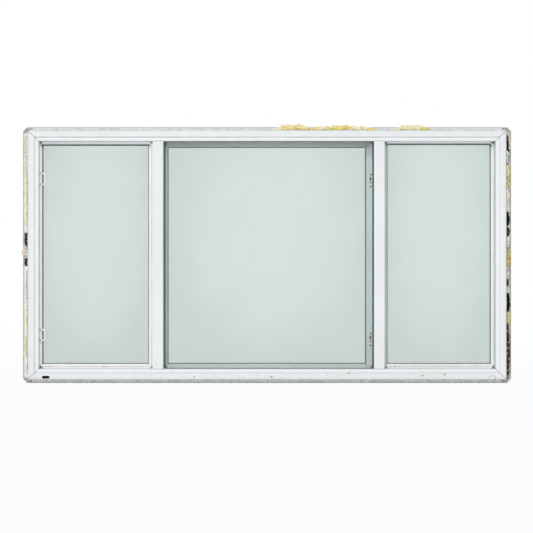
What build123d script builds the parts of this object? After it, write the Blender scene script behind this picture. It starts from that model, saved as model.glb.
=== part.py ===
from build123d import *
import math
import os

# Three-light sliding window, in millimetres. Its outside face looks along -Y, X runs to the right, seen from
# outside and Z is up. The origin is on the flat back of the flange, below the middle of the sill's face.
# In a profile, u runs inwards from the outer edge of a frame and s is the depth behind the outside face.

# Frame: a moulded outside face and a deeper box behind it that goes into the wall
frame_width = 1994.0
frame_height = 1040.0
face_width = 45.5
bevel_width = 9.0
bevel_drop = 3.5
step_at = 29.0
step_slope = 0.8
band_drop = 2.4
edge_break = 1.5
wall_clearance = 4.0

# Flange round the frame, with a lip that makes a pocket open to the outside
flange_side = 24.5
flange_level = 15.0
flange_back = 52.0
flange_thickness = 3.0
lip_height = 15.0
lip_thickness = 2.5
corner_cut = 17.0

# Two sash tracks behind the outside face
track_width = 28.0
track_wall = 4.0
rear_lip_thickness = 12.0
rear_lip_rise = 5.5
jamb_floor = 12.0
head_floor = 14.0
sill_front_floor = 20.0
sill_rear_floor = 17.0
rib_width = 4.0
rib_height = 8.0

# Mullions
mullion_width = 45.0
left_mullion_x = -454.9
right_mullion_x = 467.2
mullion_drop = 0.6
mullion_band = 12.0
mullion_band_drop = 1.4

# Fixed glass between the mullions, put in from the room side and held by beads
rebate_front = 10.0
rebate_deep = 14.0
centre_pane = 4.0
centre_gap = 14.0
centre_bead = 4.0
centre_bead_bevel = 2.0
glass_edge_gap = 3.0
gasket_thickness = 2.0
gasket_width = 5.0
gasket_show = 3.0

# Spacers inside sealed glass
spacer_inset = 1.5
spacer_width = 6.0

# Sash profile
sash_depth = 24.0
sash_clearance = 2.0
sash_member = 42.0
inner_member = 43.5
sash_flat_edge = 1.0
sash_groove = 2.0
sash_groove_drop = 1.6
sash_bead = 11.0
inner_bead = 7.5
sash_bead_drop = 0.8
sash_bead_fall = 3.2
sash_gasket_show = 2.5
sash_gasket_recess = 0.6
sash_gasket_hidden = 2.0
sash_tip = 1.7
sash_glass_at = 7.0
sash_glass_bite = 12.0
sash_glass_gap = 2.0
sash_pane = 3.0
sash_pane_gap = 8.0
inner_pane = 4.0
sash_back_bevel = 2.0

# Places of the sashes in the frame
foot_gap = 5.0
left_head_gap = 5.0
right_head_gap = 2.0
inner_head_gap = 10.0
left_sash_side_gap = 3.0
left_sash_overlap = 21.4
right_sash_side_gap = 8.5
right_sash_overlap = 27.0
inner_left_overlap = 27.1
inner_right_overlap = 11.8

# Rollers under the sliding sashes
roller_radius = 8.0
roller_flange = 2.0
roller_flange_width = 1.5
roller_tread_play = 0.4
axle_radius = 2.0
axle_fit = 0.1
axle_bite = 3.0
axle_end_play = 0.3
rib_groove_width = 10.0
rib_groove_depth = 8.0
pocket_length = 24.0
pocket_top_gap = 2.0
roller_from_end = 90.0

# Setting blocks under the fixed sash
block_length = 60.0
block_from_end = 110.0
block_side_gap = 2.0
block_fit = 0.3

# Looped pulls on the left sash
lower_pull_above_sill = 139.5
upper_pull_below_head = 156.0
pull_height = 53.0
pull_reach = 25.5
pull_bar_radius = 3.8
pull_bar_sides = 8
pull_corner = 10.0
pull_stand = 1.2
pull_foot_width = 7.5
pull_foot_height = 11.0
pull_from_jamb = 1.0

# Catch plates on the inner sash
lower_catch_above_sill = 121.5
upper_catch_below_head = 159.5
catch_height = 64.0
catch_width = 13.5
catch_plate = 2.4
catch_bevel = 1.5
catch_slot_height = 15.0
catch_slot_width = 4.5
catch_slot_above = 6.0
catch_nose = 2.0
catch_nose_height = 13.0
catch_nose_taper = 2.5
catch_nose_side = 2.0
catch_nose_below = 20.0
catch_screw_radius = 1.6
catch_screw_from_end = 6.0
catch_from_groove = 3.0

# Drain slots in the face of the sill, the ring round the left one and the cover on the right one
drain_width = 28.0
drain_height = 7.0
drain_deep = 16.0
drain_level = 11.4
left_drain_from_side = 76.0
right_drain_from_side = 61.0
ring_width = 41.0
ring_height = 16.0
ring_thickness = 1.2
cover_width = 24.0
cover_height = 12.0
cover_thickness = 1.8
cover_round = 2.0
cover_spigot_gap = 0.4
cover_spigot_deep = 7.0

# Fixing holes through each jamb, in the rear track
hole_radius = 2.75
hole_spacing = 520.0

# Old mounting foam in the pocket of the flange, as (start, end, width) of each piece. The ends are shares of the
# frame's width, from its middle, or of its height, from the sill, and the widths run outwards from the frame.
foam_head_spans = ((0.019, 0.088, 36.0), (0.092, 0.23, 28.0), (0.271, 0.337, 31.0))
foam_left_spans = ((0.615, 0.981, 17.0), (0.4875, 0.534, 34.0), (0.083, 0.433, 14.0))
foam_right_spans = (
    (0.925, 0.981, 10.0),
    (0.725, 0.862, 16.0),
    (0.458, 0.577, 16.0),
    (0.223, 0.279, 14.0),
    (0.01, 0.213, 14.0),
)
foam_front = 29.0
foam_fit = 0.3
foam_pitch = 36.0
foam_wave = 3.0

# Values worked out from the driving dimensions
left = -frame_width / 2
right = frame_width / 2
frame_box = (left, right, 0.0, frame_height)
centre_unit = 2 * centre_pane + centre_gap
rebate_back = rebate_front + gasket_thickness + centre_unit
front_track = rebate_back + centre_bead
rear_track = front_track + track_width + track_wall
frame_depth = rear_track + track_width + rear_lip_thickness
opening_low = face_width
opening_high = frame_height - face_width
half_mullion = mullion_width / 2
left_drain_x = left + left_drain_from_side
right_drain_x = right - right_drain_from_side
centre_box = (left_mullion_x + half_mullion, right_mullion_x - half_mullion, opening_low, opening_high)
front_sash_at = front_track + sash_clearance
inner_sash_at = rear_track + sash_clearance
lip_front = flange_back - flange_thickness - lip_height
left_sash_box = (
    left + jamb_floor + left_sash_side_gap,
    left_mullion_x - half_mullion + left_sash_overlap,
    sill_front_floor + foot_gap,
    frame_height - head_floor - left_head_gap,
)
right_sash_box = (
    right_mullion_x + half_mullion - right_sash_overlap,
    right - jamb_floor - right_sash_side_gap,
    sill_front_floor + foot_gap,
    frame_height - head_floor - right_head_gap,
)
inner_sash_box = (
    left_mullion_x + half_mullion - inner_left_overlap,
    right_mullion_x - half_mullion + inner_right_overlap,
    sill_rear_floor + foot_gap,
    frame_height - head_floor - inner_head_gap,
)
sealed_unit = 2 * sash_pane + sash_pane_gap
SIDES = ("top", "bottom", "left", "right")


def depth_y(s):
    """The Y of a depth behind the outside face."""
    return s - flange_back


def grow(box, by):
    """A rectangle let out by the same amount on every side, or taken in by a negative one."""
    x0, x1, z0, z1 = box
    return (x0 - by, x1 + by, z0 - by, z1 + by)


def block(x0, x1, s0, s1, z0, z1):
    """A block between two corners, with its depths counted from the outside face."""
    middle = ((x0 + x1) / 2, depth_y((s0 + s1) / 2), (z0 + z1) / 2)
    return Pos(*middle) * Box(x1 - x0, s1 - s0, z1 - z0)


def plate(outline, s0, s1):
    """An outline drawn in X and Z, made solid between two depths."""
    plane = Plane(origin=(0, depth_y(s1), 0), x_dir=(1, 0, 0), z_dir=(0, -1, 0))
    return extrude(plane * outline, amount=s1 - s0)


def rect(box):
    """A rectangle drawn in X and Z."""
    x0, x1, z0, z1 = box
    return Pos((x0 + x1) / 2, (z0 + z1) / 2) * Rectangle(x1 - x0, z1 - z0)


def mitre_wedge(side, box, outwards, inwards):
    """The trapezoid, cut at 45 degrees through the box corners, that belongs to one side of a frame."""
    x0, x1, z0, z1 = grow(box, outwards)
    a0, a1, c0, c1 = grow(box, -inwards)
    corners = {
        "top": [(x0, z1), (x1, z1), (a1, c1), (a0, c1)],
        "bottom": [(x0, z0), (x1, z0), (a1, c0), (a0, c0)],
        "left": [(x0, z0), (x0, z1), (a0, c1), (a0, c0)],
        "right": [(x1, z0), (x1, z1), (a1, c1), (a1, c0)],
    }
    return plate(make_face(Polyline(*corners[side], close=True)), -frame_depth, 2 * frame_depth)


def bar(profile, side, box):
    """A straight bar along one side of the box, with its (u, s) profile drawn from the outer edge inwards."""
    x0, x1, z0, z1 = box
    y = depth_y(0)
    planes = {
        "top": Plane(origin=(x0, y, z1), x_dir=(0, 0, -1), z_dir=(1, 0, 0)),
        "bottom": Plane(origin=(x1, y, z0), x_dir=(0, 0, 1), z_dir=(-1, 0, 0)),
        "left": Plane(origin=(x0, y, z0), x_dir=(1, 0, 0), z_dir=(0, 0, 1)),
        "right": Plane(origin=(x1, y, z1), x_dir=(-1, 0, 0), z_dir=(0, 0, -1)),
    }
    length = x1 - x0 if side in ("top", "bottom") else z1 - z0
    return extrude(planes[side] * make_face(Polyline(*profile, close=True)), amount=length)


def mitred(profile, side, box):
    """One side of a rectangular frame, mitred at both ends."""
    reach = 2 * max(u for u, s in profile)
    return bar(profile, side, box) & mitre_wedge(side, box, 0, reach)


def ring(profile, box):
    """A closed frame in one piece, such as a gasket or a spacer."""
    parts = [mitred(profile, side, box) for side in SIDES]
    return parts[0] + parts[1] + parts[2] + parts[3]


def frame_profile(front_floor, rear_floor):
    """The frame from its outer edge inwards: moulded face, front track, rear track and rear lip."""
    second_track = rear_track + track_width
    return [
        (0, bevel_drop),
        (bevel_width, 0),
        (step_at, 0),
        (step_at + step_slope, band_drop),
        (face_width - edge_break, band_drop),
        (face_width, band_drop + edge_break),
        (face_width, front_track),
        (front_floor, front_track),
        (front_floor, front_track + track_width),
        (face_width, front_track + track_width),
        (face_width, rear_track),
        (rear_floor, rear_track),
        (rear_floor, second_track),
        (face_width + rear_lip_rise, second_track),
        (face_width + rear_lip_rise, frame_depth),
        (wall_clearance, frame_depth),
        (wall_clearance, flange_back),
        (0, flange_back),
    ]


def pan(play):
    """A flat tray with a lip and clipped corners, let out on every side by some play."""
    width = frame_width + 2 * flange_side + 2 * play
    height = frame_height + 2 * flange_level + 2 * play
    outline = Pos(0, frame_height / 2) * chamfer(Rectangle(width, height).vertices(), corner_cut)
    pocket = offset(outline, -lip_thickness - 2 * play, kind=Kind.INTERSECTION)
    tray = plate(outline, lip_front - play, flange_back + play)
    return tray - plate(pocket, lip_front - play, flange_back - flange_thickness - play)


def flange():
    """The flange all the way round, with its lip, its open pocket and its clipped corners."""
    return pan(0) - plate(rect(frame_box), 0, frame_depth)


def frame_member(side):
    """A mitred side of the frame with its stretch of the flange."""
    floors = {
        "top": (head_floor, head_floor),
        "bottom": (sill_front_floor, sill_rear_floor),
        "left": (jamb_floor, jamb_floor),
        "right": (jamb_floor, jamb_floor),
    }
    member = mitred(frame_profile(*floors[side]), side, frame_box)
    member += flange() & mitre_wedge(side, frame_box, 2 * flange_side, 0)
    return member


def centre_rebate():
    """The room that the fixed glass, its gasket and its beads take out of what stands round it."""
    x0, x1, z0, z1 = grow(centre_box, rebate_deep)
    return block(x0, x1, rebate_front, front_track, z0, z1)


def head():
    return frame_member("top") - centre_rebate()


def track_ribs():
    """The two ribs that the rollers run on."""
    ribs = []
    for track, floor in ((front_sash_at, sill_front_floor), (inner_sash_at, sill_rear_floor)):
        middle = track + sash_depth / 2
        start = middle - rib_width / 2
        end = left + jamb_floor
        ribs.append(block(end, -end, start, start + rib_width, floor, floor + rib_height))
    return ribs


def drain_slot(x, width, height, deep):
    """A slot with round ends that runs in from the outside face."""
    outline = Pos(x, drain_level) * SlotOverall(width, height)
    return plate(outline, -cover_thickness, deep)


def sill():
    shape = frame_member("bottom") - centre_rebate()
    for rib in track_ribs():
        shape += rib & mitre_wedge("bottom", frame_box, 0, face_width)
    for x in (left_drain_x, right_drain_x):
        shape -= drain_slot(x, drain_width, drain_height, drain_deep)
    return shape


def jamb(side):
    """A jamb with its fixing holes through the floor of the rear track."""
    shape = frame_member(side)
    x = left if side == "left" else right
    for level in hole_levels():
        hole = Cylinder(hole_radius, 4 * jamb_floor, rotation=(0, 90, 0))
        shape -= Pos(x, depth_y(rear_track + track_width / 2), level) * hole
    return shape


def hole_levels():
    return (frame_height / 2 - hole_spacing / 2, frame_height / 2 + hole_spacing / 2)


def mullion(x, band_side):
    """A mullion butted between head and sill, with its set-back band on the side away from the middle."""
    near = x - band_side * half_mullion
    far = x + band_side * half_mullion
    band_edge = far - band_side * mullion_band
    drop = mullion_drop + mullion_band_drop
    outline = [
        (near + band_side * edge_break, mullion_drop),
        (band_edge, mullion_drop),
        (band_edge + band_side * step_slope, drop),
        (far - band_side * edge_break, drop),
        (far, drop + edge_break),
        (far, front_track),
        (near, front_track),
        (near, mullion_drop + edge_break),
    ]
    plane = Plane(origin=(0, depth_y(0), opening_low), x_dir=(1, 0, 0), z_dir=(0, 0, 1))
    shape = extrude(plane * make_face(Polyline(*outline, close=True)), amount=opening_high - opening_low)
    return shape - centre_rebate()


def panes(box, at, thicknesses):
    """One sheet of glass, or two with a space between them, as (pane, space, pane)."""
    sheets = []
    s = at
    for order, thickness in enumerate(thicknesses):
        if order % 2 == 0:
            sheets.append(plate(rect(box), s, s + thickness))
        s += thickness
    return Compound(children=sheets)


def spacer(box, at, depth):
    """The spacer between two panes, set in from their edge."""
    profile = [(0, at), (spacer_width, at), (spacer_width, at + depth), (0, at + depth)]
    return ring(profile, grow(box, -spacer_inset))


def centre_glass_box():
    return grow(centre_box, rebate_deep - glass_edge_gap)


def centre_glass():
    at = rebate_front + gasket_thickness
    return panes(centre_glass_box(), at, (centre_pane, centre_gap, centre_pane))


def centre_spacer():
    return spacer(centre_glass_box(), rebate_front + gasket_thickness + centre_pane, centre_gap)


def centre_gasket():
    """The flat seal in front of the fixed glass, with a lip that shows inside the opening."""
    s0 = rebate_front
    s1 = rebate_front + gasket_thickness
    reach = gasket_width + gasket_show
    return ring([(0, s0), (reach, s0), (reach, s1), (0, s1)], grow(centre_box, gasket_width))


def centre_bead_piece(side):
    """One of the beads that hold the fixed glass from the room side."""
    profile = [
        (0, rebate_back),
        (rebate_deep, rebate_back),
        (rebate_deep, front_track - centre_bead_bevel),
        (rebate_deep - centre_bead_bevel, front_track),
        (0, front_track),
    ]
    return mitred(profile, side, grow(centre_box, rebate_deep))


def sash_profile(member, bead_width, at, glass):
    """A sash member: flat, groove and sloping bead outside, and the groove that holds the glass inside it."""
    tip = member - sash_gasket_show
    bead = tip - bead_width
    seat = at + sash_glass_at
    lip = at + sash_bead_drop + sash_bead_fall
    floor = member - sash_glass_bite - sash_glass_gap
    back = at + sash_depth
    return [
        (0, at + sash_flat_edge),
        (sash_flat_edge, at),
        (bead - sash_groove, at),
        (bead - sash_groove, at + sash_groove_drop),
        (bead, at + sash_groove_drop),
        (bead, at + sash_bead_drop),
        (tip, lip),
        (tip, lip + sash_tip),
        (tip - sash_gasket_hidden, lip + sash_tip),
        (tip - sash_gasket_hidden, seat),
        (floor, seat),
        (floor, seat + glass),
        (member, seat + glass),
        (member, back - sash_back_bevel),
        (member - sash_back_bevel, back),
        (0, back),
    ]


def sash_gasket(member, at, box):
    """The dark gasket that fills the step between the sloping bead and the glass."""
    tip = member - sash_gasket_show
    lip = at + sash_bead_drop + sash_bead_fall
    seat = at + sash_glass_at
    top = lip + sash_gasket_recess
    profile = [
        (tip - sash_gasket_hidden, lip + sash_tip),
        (tip, lip + sash_tip),
        (tip, top),
        (member - sash_gasket_recess, top),
        (member, top + sash_gasket_recess),
        (member, seat),
        (tip - sash_gasket_hidden, seat),
    ]
    return ring(profile, box)


def sash_rail_cut(box, at):
    """The groove under a bottom rail that clears the rib of the track."""
    x0, x1, z0, z1 = box
    start = at + (sash_depth - rib_groove_width) / 2
    return block(x0, x1, start, start + rib_groove_width, z0, z0 + rib_groove_depth)


def roller_places(box, floor):
    """The centres of the two rollers of a sash, in X and Z."""
    x0, x1, z0, z1 = box
    level = floor + rib_height + roller_radius
    return [(x0 + roller_from_end, level), (x1 - roller_from_end, level)]


def roller_pocket(place, at, foot):
    """The pocket for a roller and the holes for its axle."""
    x, z = place
    start = at + (sash_depth - rib_groove_width) / 2
    top = z + roller_radius + roller_flange + pocket_top_gap
    half = pocket_length / 2
    pocket = block(x - half, x + half, start, start + rib_groove_width, foot, top)
    hole = Cylinder(axle_radius + axle_fit, rib_groove_width + 2 * axle_bite, rotation=(90, 0, 0))
    return pocket + Pos(x, depth_y(at + sash_depth / 2), z) * hole


def roller(place, at):
    """A flanged roller and its axle, turned about Y and standing on the rib."""
    x, z = place
    tread = (rib_width + roller_tread_play) / 2
    rim = tread + roller_flange_width
    axle = rib_groove_width / 2 + axle_bite - axle_end_play
    half = [
        (0, -axle),
        (axle_radius, -axle),
        (axle_radius, -rim),
        (roller_radius + roller_flange, -rim),
        (roller_radius, -tread),
    ]
    outline = half + [(r, -y) for r, y in reversed(half)]
    wheel = revolve(make_face(Polyline(*outline, close=True)), axis=Axis.Y)
    return Pos(x, depth_y(at + sash_depth / 2), z) * wheel


def sash(name, box, member, bead, at, glass, floor, rolling):
    """The members, gasket and rollers of one sash, by node name."""
    profile = sash_profile(member, bead, at, glass)
    names = {"top": "top_rail", "bottom": "bottom_rail", "left": "left_stile", "right": "right_stile"}
    nodes = {}
    for side in SIDES:
        nodes[name + "_" + names[side]] = mitred(profile, side, box)
    rail = nodes[name + "_bottom_rail"] - sash_rail_cut(box, at)
    stiles = [name + "_left_stile", name + "_right_stile"]
    for stile in stiles:
        nodes[stile] -= sash_rail_cut(box, at)
    if rolling:
        places = roller_places(box, floor)
        for place in places:
            rail -= roller_pocket(place, at, box[2])
        nodes[name + "_rollers"] = Compound(children=[roller(place, at) for place in places])
    nodes[name + "_bottom_rail"] = rail
    nodes[name + "_gasket"] = sash_gasket(member, at, box)
    return nodes


def sash_glass_box(box, member):
    return grow(box, sash_glass_bite - member)


def left_sash():
    """The sliding sash on the left, with its two looped pulls."""
    spot = (front_sash_at, sealed_unit, sill_front_floor)
    nodes = sash("left_sash", left_sash_box, sash_member, sash_bead, *spot, True)
    glass_box = sash_glass_box(left_sash_box, sash_member)
    at = front_sash_at + sash_glass_at
    nodes["left_sash_glass"] = panes(glass_box, at, (sash_pane, sash_pane_gap, sash_pane))
    nodes["left_sash_spacer"] = spacer(glass_box, at + sash_pane, sash_pane_gap)
    stile = nodes["left_sash_left_stile"]
    nodes["lower_pull"] = pull(opening_low + lower_pull_above_sill, stile)
    nodes["upper_pull"] = pull(opening_high - upper_pull_below_head, stile)
    return nodes


def right_sash():
    """The fixed sash on the right, which stands on setting blocks."""
    spot = (front_sash_at, sealed_unit, sill_front_floor)
    nodes = sash("right_sash", right_sash_box, sash_member, sash_bead, *spot, False)
    glass_box = sash_glass_box(right_sash_box, sash_member)
    at = front_sash_at + sash_glass_at
    nodes["right_sash_glass"] = panes(glass_box, at, (sash_pane, sash_pane_gap, sash_pane))
    nodes["right_sash_spacer"] = spacer(glass_box, at + sash_pane, sash_pane_gap)
    nodes["setting_blocks"] = setting_blocks(right_sash_box)
    return nodes


def inner_sash():
    """The single-glazed sash behind the fixed glass, with two catch plates on its right stile."""
    spot = (inner_sash_at, inner_pane, sill_rear_floor)
    nodes = sash("inner_sash", inner_sash_box, inner_member, inner_bead, *spot, True)
    glass_box = sash_glass_box(inner_sash_box, inner_member)
    nodes["inner_sash_glass"] = plate(rect(glass_box), *inner_pane_depths())
    nodes["lower_catch"] = catch(opening_low + lower_catch_above_sill)
    nodes["upper_catch"] = catch(opening_high - upper_catch_below_head)
    return nodes


def inner_pane_depths():
    at = inner_sash_at + sash_glass_at
    return (at, at + inner_pane)


def setting_blocks(box):
    """Two saddles over the track rib that carry the fixed sash."""
    x0, x1, z0, z1 = box
    middle = front_sash_at + sash_depth / 2
    leg = sash_depth / 2 - block_side_gap
    slot = rib_width / 2 + block_fit
    hump = rib_groove_width / 2 - block_fit
    floor = sill_front_floor
    half = [
        (slot, floor),
        (leg, floor),
        (leg, z0),
        (hump, z0),
        (hump, z0 + rib_groove_depth - block_fit),
    ]
    roof = floor + rib_height + block_fit
    outline = [(-slot, roof), (slot, roof)] + half + [(-v, z) for v, z in reversed(half)]
    face = make_face(Polyline(*outline, close=True))
    blocks = []
    for start in (x0 + block_from_end, x1 - block_from_end - block_length):
        plane = Plane(origin=(start, depth_y(middle), 0), x_dir=(0, 1, 0), z_dir=(1, 0, 0))
        blocks.append(extrude(plane * face, amount=block_length))
    return Compound(children=blocks)


def pull_x():
    """Where a pull starts on the stile and where the axis of its grip is."""
    start = left + face_width + pull_from_jamb
    return start, start + pull_reach - pull_bar_radius


def pull(level, stile):
    """A bar bent into a loop beside the stile, on two feet that follow the sloping bead."""
    start, grip = pull_x()
    leg = pull_height / 2 - pull_bar_radius
    y = depth_y(front_sash_at - pull_stand - pull_bar_radius)
    foot_middle = start + pull_foot_width / 2
    points = [(foot_middle, y, level - leg), (grip, y, level - leg)]
    points += [(grip, y, level + leg), (foot_middle, y, level + leg)]
    path = FilletPolyline(*points, radius=pull_corner)
    section = Plane(origin=points[0], z_dir=(1, 0, 0)) * RegularPolygon(pull_bar_radius, pull_bar_sides)
    shape = sweep(section, path=path)
    bar_front = front_sash_at - pull_stand - 2 * pull_bar_radius
    for z in (level - leg, level + leg):
        outline = chamfer(Rectangle(pull_foot_width, pull_foot_height).vertices(), pull_foot_width / 4)
        foot = plate(Pos(foot_middle, z) * outline, bar_front, front_sash_at + sash_tip * 3)
        shape += foot - stile
    return shape


def catch(level):
    """A catch plate with a slot, a tapered nose and two screw holes."""
    x = inner_sash_box[1] - inner_member + sash_gasket_show + inner_bead + sash_groove
    x += catch_from_groove + catch_width / 2
    back = inner_sash_at
    front = back - catch_plate
    outline = chamfer(Rectangle(catch_width, catch_height).vertices(), catch_bevel)
    shape = plate(Pos(x, level) * outline, front, back)
    nose_low = level - catch_nose_below
    half = catch_width / 2 - catch_nose_side
    nose = [
        (x - half, nose_low),
        (x + half, nose_low),
        (x + half - catch_nose_taper, nose_low + catch_nose_height),
        (x - half + catch_nose_taper, nose_low + catch_nose_height),
    ]
    shape += plate(make_face(Polyline(*nose, close=True)), front - catch_nose, front)
    slot = Pos(x, level + catch_slot_above) * SlotOverall(catch_slot_height, catch_slot_width, rotation=90)
    shape -= plate(slot, front - catch_nose, back)
    for z in (level - catch_height / 2 + catch_screw_from_end, level + catch_height / 2 - catch_screw_from_end):
        shape -= plate(Pos(x, z) * Circle(catch_screw_radius), front, back)
    return shape


def drain_ring(bottom):
    """A raised ring round the left drain slot, seated on the face and bevel of the sill."""
    outline = Pos(left_drain_x, drain_level) * SlotOverall(ring_width, ring_height)
    opening = Pos(left_drain_x, drain_level) * SlotOverall(drain_width, drain_height)
    return plate(outline - opening, -ring_thickness, bevel_drop) - bottom


def weep_cover():
    """A small cover on the right drain slot, held by a spigot inside the slot."""
    outline = Pos(right_drain_x, drain_level) * RectangleRounded(cover_width, cover_height, cover_round)
    flap = plate(outline, -cover_thickness, 0)
    play = 2 * cover_spigot_gap
    spigot = drain_slot(right_drain_x, drain_width - cover_round * 3 - play, drain_height - play, cover_spigot_deep)
    return flap + spigot


def wave(place):
    """An uneven bulge of old foam, from -1 to 1, by its place along the strip."""
    return 0.6 * math.sin(place / 19.0) + 0.4 * math.sin(place / 7.3 + 1.0)


def foam_outline(start, end, base, height):
    """A strip of foam from start to end: a straight base and a bulging far edge."""
    steps = max(4, round((end - start) / foam_pitch))
    points = []
    for step in range(steps + 1):
        share = step / steps
        along = start + (end - start) * share
        swell = math.sin(math.pi * (0.12 + 0.76 * share)) ** 0.5
        points.append((along, base + height * swell + foam_wave * wave(along)))
    return points


def foam_face(side, start, end, width):
    """The outline of a piece of foam in X and Z, from the edge of the frame outwards."""
    size = frame_width if side == "top" else frame_height
    base = (frame_height if side == "top" else frame_width / 2) + foam_fit
    far = foam_outline(start * size, end * size, base, width - foam_wave)
    near = [(far[-1][0], base), (far[0][0], base)]
    if side != "top":
        sign = -1 if side == "left" else 1
        far = [(sign * x, z) for z, x in far]
        near = [(sign * x, z) for z, x in near]
    return make_face(Spline(*far) + Polyline(far[-1], *near, far[0]))


def foam(side, spans):
    """Pieces of foam that fill the pocket of the flange and swell out of it, round its lip."""
    tray = pan(foam_fit)
    pieces = []
    for span in spans:
        pieces.append(plate(foam_face(side, *span), foam_front, flange_back - foam_fit) - tray)
    return Compound(children=pieces)


def window():
    """Every node of the window by name."""
    nodes = {
        "head": head(),
        "sill": sill(),
        "left_jamb": jamb("left"),
        "right_jamb": jamb("right"),
        "left_mullion": mullion(left_mullion_x, -1),
        "right_mullion": mullion(right_mullion_x, 1),
        "centre_glass": centre_glass(),
        "centre_spacer": centre_spacer(),
        "centre_gasket": centre_gasket(),
        "weep_cover": weep_cover(),
        "foam_head": foam("top", foam_head_spans),
        "foam_left": foam("left", foam_left_spans),
        "foam_right": foam("right", foam_right_spans),
    }
    nodes["drain_ring"] = drain_ring(nodes["sill"])
    for side in SIDES:
        nodes["centre_bead_" + side] = centre_bead_piece(side)
    nodes.update(left_sash())
    nodes.update(right_sash())
    nodes.update(inner_sash())
    return nodes


os.makedirs("parts", exist_ok=True)
for node, shape in window().items():
    export_step(shape, "parts/" + node + ".step")
    print(node, round(shape.volume / 1000), "cm3")
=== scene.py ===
import math
import random

import bmesh
import bpy
from mathutils import Matrix, Vector, noise

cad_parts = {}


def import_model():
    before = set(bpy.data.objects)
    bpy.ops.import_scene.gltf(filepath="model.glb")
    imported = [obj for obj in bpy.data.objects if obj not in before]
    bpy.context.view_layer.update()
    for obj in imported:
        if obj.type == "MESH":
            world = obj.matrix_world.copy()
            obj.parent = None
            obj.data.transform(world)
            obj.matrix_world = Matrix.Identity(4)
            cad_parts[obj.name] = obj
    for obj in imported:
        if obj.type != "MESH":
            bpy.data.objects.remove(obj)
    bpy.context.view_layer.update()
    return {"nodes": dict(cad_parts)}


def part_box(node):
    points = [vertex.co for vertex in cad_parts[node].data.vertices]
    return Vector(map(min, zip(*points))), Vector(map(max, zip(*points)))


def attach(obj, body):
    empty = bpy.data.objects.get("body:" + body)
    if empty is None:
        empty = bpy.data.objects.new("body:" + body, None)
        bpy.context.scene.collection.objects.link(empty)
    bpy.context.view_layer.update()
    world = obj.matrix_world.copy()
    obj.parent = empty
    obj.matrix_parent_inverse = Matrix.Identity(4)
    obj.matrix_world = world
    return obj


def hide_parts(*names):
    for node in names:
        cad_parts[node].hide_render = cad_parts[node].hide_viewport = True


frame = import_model()
NODES = frame["nodes"]

# The frame in metres. X runs right, Y into the wall and Z up, and the flange's back is at y = 0.
# A box is its left, right, lower and upper edge.
FACE = (-0.997, 0.997, 0.0, 1.04)
FACE_WIDTH = 0.0455
OPENING = (FACE[0] + FACE_WIDTH, FACE[1] - FACE_WIDTH, FACE[2] + FACE_WIDTH, FACE[3] - FACE_WIDTH)
FACE_Y = -0.052
STEP_IN = 0.0296
LEFT_MULLION = (-0.4774, -0.4324)
RIGHT_MULLION = (0.4447, 0.4897)
LEFT_SASH = (-0.982, -0.456, 0.025, 1.021)
RIGHT_SASH = (0.4627, 0.9765, 0.025, 1.024)
INNER_SASH = (-0.4595, 0.4565, 0.022, 1.016)
CENTRE_HOLE = (LEFT_MULLION[1], RIGHT_MULLION[0], OPENING[2], OPENING[3])

# Depths from a sash's outer edge, and the height where the shade under the head starts
SASH_GROOVE_IN = 0.0275
SASH_BEAD_IN = 0.0392
INNER_BEAD_IN = 0.0412
SASH_SHADE_IN = 0.0325
INNER_SHADE_IN = 0.0205
SHADE_LEVEL = 0.972

# Drains, pulls and catches
LEFT_DRAIN = (-0.921, 0.0114)
RIGHT_DRAIN = (0.936, 0.0114)
DRAIN_HALF = (0.014, 0.0035)
DRAIN_MOUTH_HALF = (0.0164, 0.006)
PULL_LEVELS = (0.185, 0.8385)
PULL_FOOT_X = -0.94675
PULL_GRIP_X = -0.9288
PULL_Y = -0.017
PULL_LEG = 0.0227
PULL_CORNER = 0.010
PULL_RADIUS = 0.0037
PULL_FOOT_DEPTHS = (-0.0209, -0.0079)
PULL_FOOT_SIZE = (0.0075, 0.011)
PIN_X = -0.9487
PIN_Y = -0.0206
PIN_RADIUS = 0.0021
CATCHES = ("lower_catch", "upper_catch")
CATCH_SLOT_RISE = 0.006
CATCH_SCREW_IN = 0.006
CATCH_SCREW_RISE = 0.0024
CATCH_SCREW_RADIUS = 0.0026

# The pocket of the flange, open to the outside
POCKET_IN = 0.9973
POCKET_OUT = 1.0187
RIGHT_POCKET_OUT = 1.0213
POCKET_FRONT = -0.0235
HEAD_POCKET = (1.0402, 1.0522)
SILL_POCKET = (-0.0002, -0.0122)
FILLER_BACK = -0.0034
FILLER_STEP = 0.0032
FILLER_ACROSS = 6
FILLER_BUMPS = 0.0022
FILLER_RIM_SINK = 0.0035

# Camera and light. A lamp has a name, a place, a width and a power.
CAMERA_PLACE = (-0.0025, -6.052, 0.472)
CAMERA_LENS = 97.4
SENSOR_WIDTH = 36.0
FLOOR_LEVEL = -0.0152
FLOOR_SIZE = 24.0
FLOOR_MIDDLE_Y = 4.0
FILL = 0.32
LAMPS = (
    ("key", (-2.6, -14.0, 11.8), 6.4, 880.0),
    ("front", (-0.3, -9.0, 0.8), 1.7, 264.0),
    ("room_side", (1.8, 6.5, 4.2), 4.0, 330.0),
)
LAMP_AIM = (0.0, 0.0, 0.5)


def srgb(red, green, blue):
    """A colour given in the usual 0 to 255 steps."""
    channels = []
    for value in (red, green, blue):
        share = value / 255
        channels.append(share / 12.92 if share < 0.04045 else ((share + 0.055) / 1.055) ** 2.4)
    return (*channels, 1.0)


WHITE = srgb(238, 242, 244)
PALE_WHITE = srgb(244, 247, 248)
DIRT_AND_SHADE = srgb(96, 92, 84)
GROOVE_DIRT_AND_SHADE = srgb(112, 116, 114)
BROWN = srgb(112, 86, 56)
RUST = srgb(138, 108, 62)
GAP_SHADE = srgb(58, 62, 60)
SHADE_BLACK = srgb(10, 12, 11)
NEARLY_CLEAR = (0.985, 0.99, 0.988, 1.0)


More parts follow.
